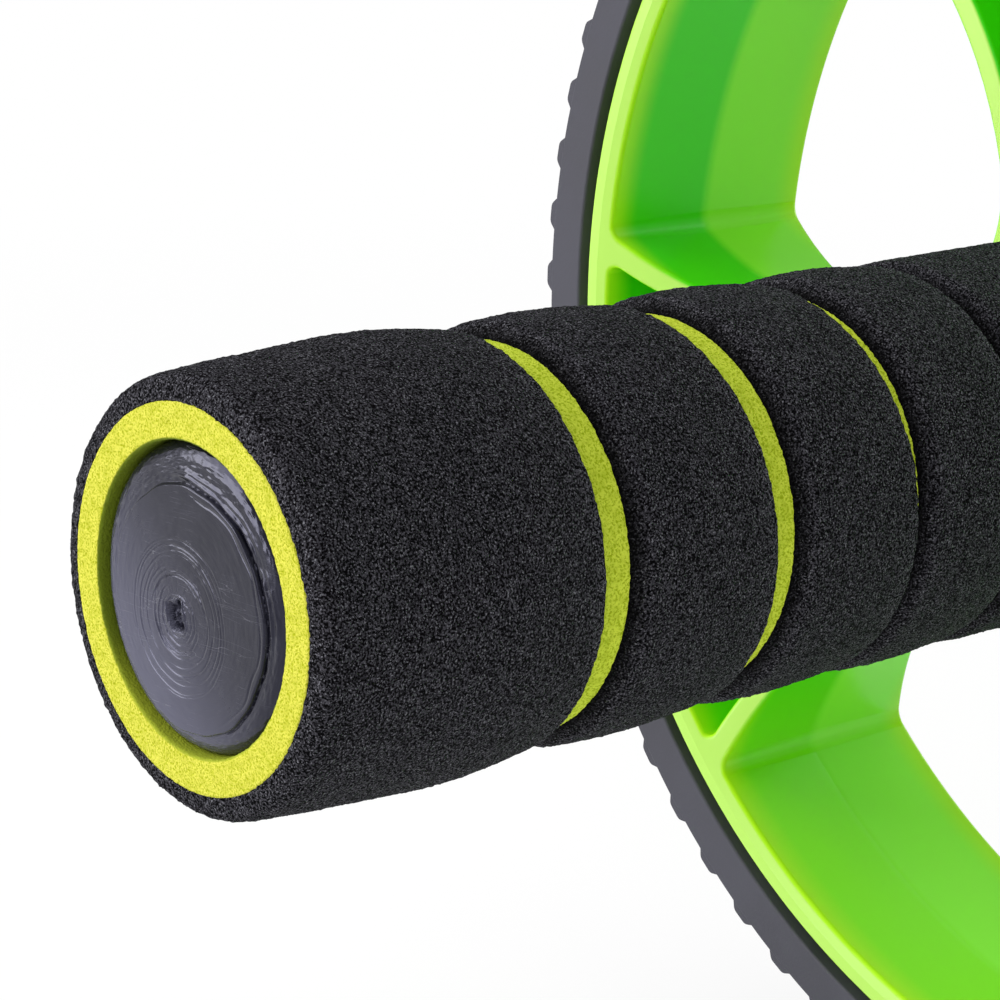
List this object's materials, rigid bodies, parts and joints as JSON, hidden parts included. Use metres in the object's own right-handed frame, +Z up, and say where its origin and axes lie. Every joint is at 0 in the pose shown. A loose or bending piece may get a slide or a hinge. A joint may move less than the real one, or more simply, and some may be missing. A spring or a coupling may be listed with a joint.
{
  "type": "ab wheel roller",
  "caption": "Ab wheel roller: a broad spoked wheel with a ribbed tyre turns freely on an axle between foam-covered handles.",
  "frame": {"origin": "centre of the wheel on the axle line, which is the centre of the whole part", "axes": "+Y along the axle, +Z up with the wheel standing on its tread, +X the way the wheel rolls"},
  "size_m": [0.1802, 0.2672, 0.1802],
  "materials": {
    "axle_steel": "zinc-bright drawn steel",
    "handle_plastic": "black moulded plastic, semi-gloss",
    "lime_foam": "lime closed-cell foam, matt",
    "black_foam": "black closed-cell foam, matt with fine pores",
    "green_plastic": "vivid green moulded plastic, satin",
    "tread_rubber": "charcoal soft rubber, matt",
    "bush_plastic": "dark nylon, satin"
  },
  "bodies": {
    "handlebar": {"axle_rod": "axle_steel", "thrust_washer_left": "axle_steel", "thrust_washer_right": "axle_steel", "handle_tube_left": "handle_plastic", "handle_tube_right": "handle_plastic", "handle_collar_left": "handle_plastic", "handle_collar_right": "handle_plastic", "axle_socket_left": "handle_plastic", "axle_socket_right": "handle_plastic", "grip_sleeve_left": "lime_foam", "grip_sleeve_right": "lime_foam", "grip_band_left_1": "black_foam", "grip_band_left_2": "black_foam", "grip_band_left_3": "black_foam", "grip_band_left_4": "black_foam", "grip_band_left_5": "black_foam", "grip_band_right_1": "black_foam", "grip_band_right_2": "black_foam", "grip_band_right_3": "black_foam", "grip_band_right_4": "black_foam", "grip_band_right_5": "black_foam"},
    "wheel": {"wheel_body": "green_plastic", "tyre": "tread_rubber", "hub_bush_left": "bush_plastic", "hub_bush_right": "bush_plastic"}
  },
  "joints": [
    {"name": "wheel_spin", "type": "hinge", "parent": "handlebar", "child": "wheel", "pos_m": [0, 0, 0], "axis": [0, 1, 0], "continuous": true}
  ]
}
